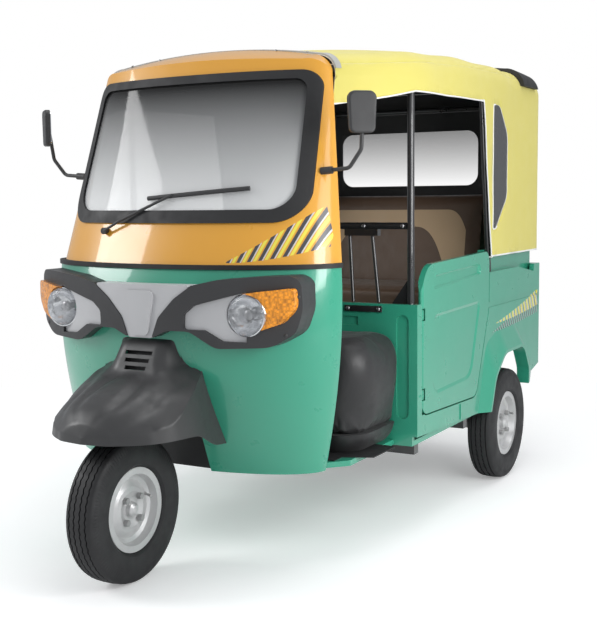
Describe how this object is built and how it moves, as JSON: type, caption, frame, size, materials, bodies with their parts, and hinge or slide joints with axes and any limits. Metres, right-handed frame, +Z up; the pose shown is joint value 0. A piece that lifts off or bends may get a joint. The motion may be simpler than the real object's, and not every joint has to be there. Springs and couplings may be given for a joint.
{
  "type": "three-wheeled passenger auto rickshaw",
  "caption": "Auto rickshaw with a round-nosed cab, fabric canopy over a bench seat, one side door, a vented tail lid and a handlebar-steered front wheel.",
  "frame": {"origin": "on the ground under the middle of the vehicle's length and width", "axes": "+X to the vehicle's left, +Y to its tail, +Z up"},
  "size_m": [1.4606, 2.748, 1.9213],
  "materials": {
    "cab_paint": "gloss",
    "body_paint": "gloss",
    "canopy_skin": "coated fabric, satin",
    "canopy_film": "clear flexible film",
    "black_paint": "satin",
    "black_plastic": "moulded",
    "silver_plastic": "bright",
    "wheel_silver": "satin",
    "tyre_rubber": "matt",
    "black_rubber": "matt",
    "window_glass": "clear",
    "lens_clear": "clear",
    "lens_amber": "gloss",
    "lens_red": "gloss",
    "mirror_silver": "polished",
    "seat_cover": "satin",
    "engine_metal": "cast",
    "arm_steel": "plain"
  },
  "bodies": {
    "body": {"belt_moulding": "black_rubber", "bulkhead": "body_paint", "canopy": "canopy_skin", "canopy_frame": "black_paint", "canopy_front_strip": "canopy_skin", "canopy_roof": "canopy_skin", "canopy_windows": "canopy_film", "chassis_frame": "black_paint", "dashboard": "black_plastic", "driver_cushion": "black_plastic", "driver_seat_base": "black_plastic", "engine_block": "engine_metal", "exhaust": "arm_steel", "fixed_half_panel_right": "body_paint", "floor_pan": "body_paint", "front_mudguard": "black_plastic", "front_shell_lower": "body_paint", "front_shell_upper": "cab_paint", "front_turn_signals": "lens_amber", "front_wheel_well": "black_plastic", "headlamp_mask": "black_plastic", "headlamps": "lens_clear", "lamp_trim": "silver_plastic", "mirror_glass": "mirror_silver", "mirrors": "black_plastic", "partition_rack": "black_paint", "passenger_backrest": "seat_cover", "passenger_cushion": "seat_cover", "passenger_seat_base": "black_paint", "quarter_posts": "black_paint", "rear_suspension": "arm_steel", "roof_band": "black_rubber", "side_panel_left": "body_paint", "side_panel_right": "body_paint", "steering_head": "black_paint", "tail_lamps": "lens_red", "tail_panel": "body_paint", "wheel_liners": "black_plastic", "windscreen": "window_glass", "windscreen_seal": "black_rubber", "wiper": "black_plastic"},
    "steering": {"front_fork": "black_paint", "handlebar": "black_paint", "handlebar_grips": "black_rubber"},
    "front_wheel": {"front_tyre": "tyre_rubber", "front_rim": "wheel_silver"},
    "rear_wheel_left": {"rear_tyre_left": "tyre_rubber", "rear_rim_left": "wheel_silver"},
    "rear_wheel_right": {"rear_tyre_right": "tyre_rubber", "rear_rim_right": "wheel_silver"},
    "door_left": {"door_left": "body_paint"},
    "engine_lid": {"engine_lid": "body_paint"}
  },
  "joints": [
    {"name": "steering_turn", "type": "hinge", "parent": "body", "child": "steering", "pos_m": [0, -1.121, 0.253], "axis": [0, 0.4695, 0.8829], "range_deg": [-40, 40]},
    {"name": "front_wheel_spin", "type": "hinge", "parent": "steering", "child": "front_wheel", "pos_m": [0, -1.121, 0.253], "axis": [1, 0, 0], "continuous": true},
    {"name": "rear_wheel_left_spin", "type": "hinge", "parent": "body", "child": "rear_wheel_left", "pos_m": [0.661, 0.799, 0.253], "axis": [1, 0, 0], "continuous": true},
    {"name": "rear_wheel_right_spin", "type": "hinge", "parent": "body", "child": "rear_wheel_right", "pos_m": [-0.661, 0.799, 0.253], "axis": [1, 0, 0], "continuous": true},
    {"name": "door_left_swing", "type": "hinge", "parent": "body", "child": "door_left", "pos_m": [0.679, -0.144, 0.7], "axis": [0, 0, -1], "range_deg": [0, 80]},
    {"name": "engine_lid_lift", "type": "hinge", "parent": "body", "child": "engine_lid", "pos_m": [0, 1.33, 0.869], "axis": [1, 0, 0], "range_deg": [0, 75]}
  ]
}
